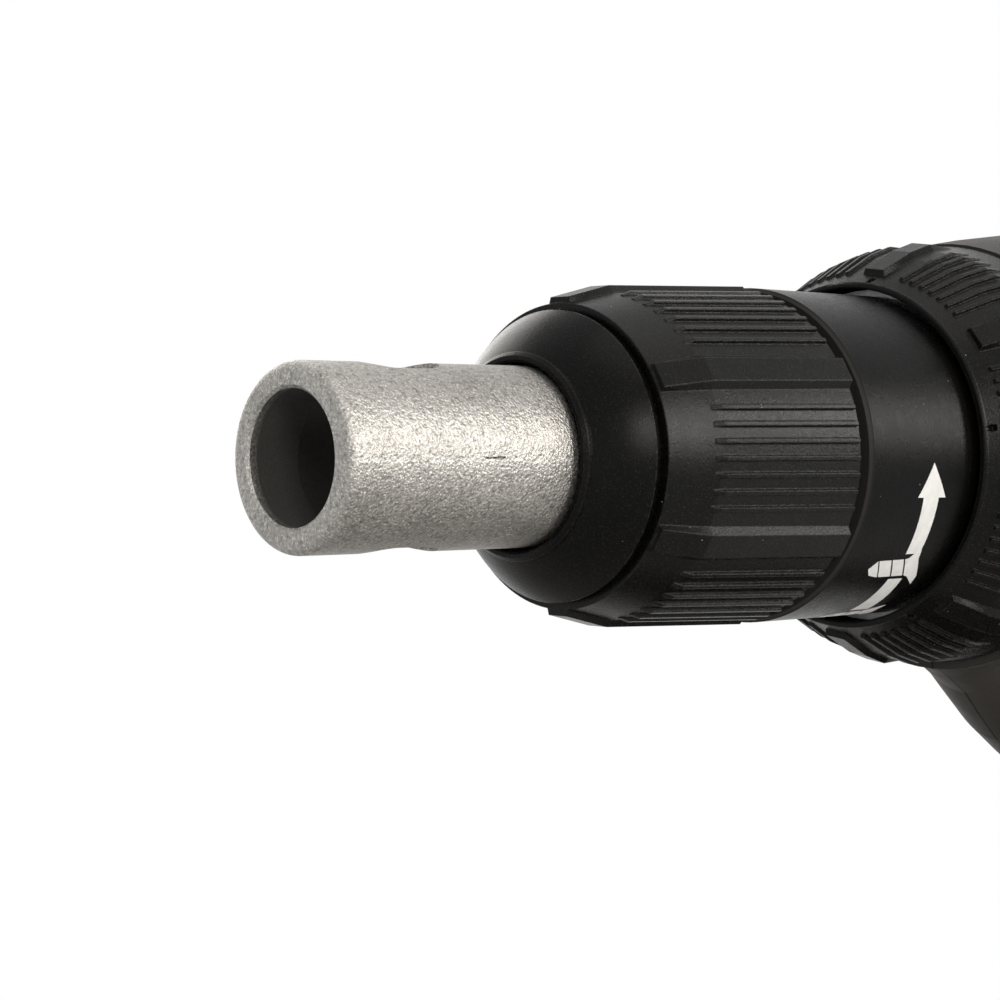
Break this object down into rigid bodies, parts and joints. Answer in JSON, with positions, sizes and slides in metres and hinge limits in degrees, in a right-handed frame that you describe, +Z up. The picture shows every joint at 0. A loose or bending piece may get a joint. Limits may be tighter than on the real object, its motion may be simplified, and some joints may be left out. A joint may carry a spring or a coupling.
{
  "type": "drywall screwdriver",
  "caption": "Cordless drywall screwdriver with a metal screw locator, ribbed depth collar, smooth nose sleeve, ribbed gear-case cover, pistol grip and slide-on battery foot.",
  "frame": {"origin": "centre of the battery's flat underside, on the tool's middle plane", "axes": "+Z up from the battery to the spindle; the nose points along -X and the tail along +X; -Y is the tool's left side"},
  "size_m": [0.2301, 0.0931, 0.2195],
  "materials": {
    "cast_alloy": "blasted",
    "black_grip": "fine grain",
    "black_satin": "satin",
    "dark_shell": "fine grain",
    "grip_rubber": "matt",
    "gear_alloy": "cast",
    "steel": "ground",
    "spring_steel": "drawn",
    "dark_screw": "blackened",
    "bronze": "sintered",
    "contact": "plated",
    "magnet": "plated",
    "laminated": "laminated",
    "copper": "wound",
    "fan_plastic": "moulded",
    "board": "lacquered",
    "potted": "potted",
    "lens": "clear",
    "cell_can": "sleeved"
  },
  "bodies": {
    "housing": {"housing_left": "dark_shell", "housing_right": "dark_shell", "housing_screws": "dark_screw", "grip_pad_left": "grip_rubber", "grip_pad_right": "grip_rubber", "belt_hook": "black_satin", "belt_hook_screw": "dark_screw", "hook_inserts": "bronze", "gear_case": "gear_alloy", "gear_case_cover": "black_grip", "gear_case_screws": "steel", "bearing_plate": "gear_alloy", "spindle_bearing_outer": "steel", "gear_bush": "bronze", "stator_core": "laminated", "stator_coils": "copper", "motor_bearing_front": "steel", "motor_bearing_rear": "steel", "hall_board": "board", "neck_o_ring": "grip_rubber", "switch_module": "fan_plastic", "trigger_spring": "spring_steel", "lock_spring": "spring_steel", "control_module": "potted", "terminal_block": "fan_plastic", "terminal_blades": "contact", "light_lens": "lens", "light_board": "board"},
    "nose": {"nose_sleeve": "black_satin", "click_ring": "steel", "collar_retainer": "steel"},
    "collar": {"depth_collar": "black_grip", "collar_grip": "black_grip"},
    "locator_tube": {"locator": "cast_alloy"},
    "gear": {"drive_gear": "steel"},
    "bearing_inner": {"spindle_bearing_inner": "steel", "spindle_bearing_rollers": "steel"},
    "output_spindle": {"spindle": "steel", "bit_holder": "steel", "holder_magnet": "magnet", "holder_clip": "steel", "clutch_spring": "spring_steel"},
    "rotor": {"motor_shaft": "steel", "motor_pinion": "steel", "rotor_core": "laminated", "rotor_magnets": "magnet", "motor_fan": "fan_plastic"},
    "trigger_body": {"trigger": "black_satin"},
    "direction_bar": {"direction_slider": "black_satin"},
    "lock": {"lock_button": "black_satin"},
    "battery": {"battery_lower_case": "black_satin", "battery_upper_case": "dark_shell", "battery_cells": "cell_can", "cell_holders": "fan_plastic", "battery_board": "board", "battery_clips": "contact", "battery_screws": "dark_screw", "latch_spring": "spring_steel"},
    "latch": {"battery_latch": "black_satin"}
  },
  "joints": [
    {"name": "nose_pull", "type": "slide", "parent": "housing", "child": "nose", "axis": [-1, 0, 0], "range_m": [0, 0.07]},
    {"name": "collar_turn", "type": "hinge", "parent": "nose", "child": "collar", "pos_m": [-0.11, 0, 0.192], "axis": [1, 0, 0], "range_deg": [-120, 480]},
    {"name": "locator_slide", "type": "slide", "parent": "nose", "child": "locator_tube", "axis": [1, 0, 0], "range_m": [-0.00205, 0.00805]},
    {"name": "gear_spin", "type": "hinge", "parent": "housing", "child": "gear", "pos_m": [-0.045, 0, 0.192], "axis": [1, 0, 0], "continuous": true},
    {"name": "spindle_spin", "type": "hinge", "parent": "housing", "child": "bearing_inner", "pos_m": [-0.068, 0, 0.192], "axis": [1, 0, 0], "continuous": true},
    {"name": "spindle_press", "type": "slide", "parent": "bearing_inner", "child": "output_spindle", "axis": [1, 0, 0], "range_m": [0, 0.0022], "stiffness_N_per_m": 3000, "springref_m": -0.002, "deforming": ["clutch_spring"]},
    {"name": "motor_spin", "type": "hinge", "parent": "housing", "child": "rotor", "pos_m": [0, 0, 0.1717], "axis": [1, 0, 0], "continuous": true},
    {"name": "trigger_pull", "type": "slide", "parent": "housing", "child": "trigger_body", "axis": [1, 0, 0], "range_m": [0, 0.007], "stiffness_N_per_m": 900, "springref_m": -0.004, "deforming": ["trigger_spring"]},
    {"name": "direction_slide", "type": "slide", "parent": "housing", "child": "direction_bar", "axis": [0, 1, 0], "range_m": [-0.003, 0.003]},
    {"name": "lock_press", "type": "slide", "parent": "housing", "child": "lock", "axis": [0, 1, 0], "range_m": [0, 0.0025], "stiffness_N_per_m": 600, "springref_m": -0.0015, "deforming": ["lock_spring"]},
    {"name": "battery_slide", "type": "slide", "parent": "housing", "child": "battery", "axis": [-1, 0, 0], "range_m": [0, 0.1]},
    {"name": "latch_press", "type": "slide", "parent": "battery", "child": "latch", "axis": [0, 0, -1], "range_m": [0, 0.0028], "stiffness_N_per_m": 900, "springref_m": -0.0015, "deforming": ["latch_spring"]}
  ],
  "couplings": [
    {"joint": "locator_slide", "follows": "collar_turn", "m_per_rad": 0.00095493},
    {"joint": "spindle_spin", "follows": "gear_spin", "ratio": 1},
    {"joint": "motor_spin", "follows": "gear_spin", "ratio": -3.8333}
  ]
}
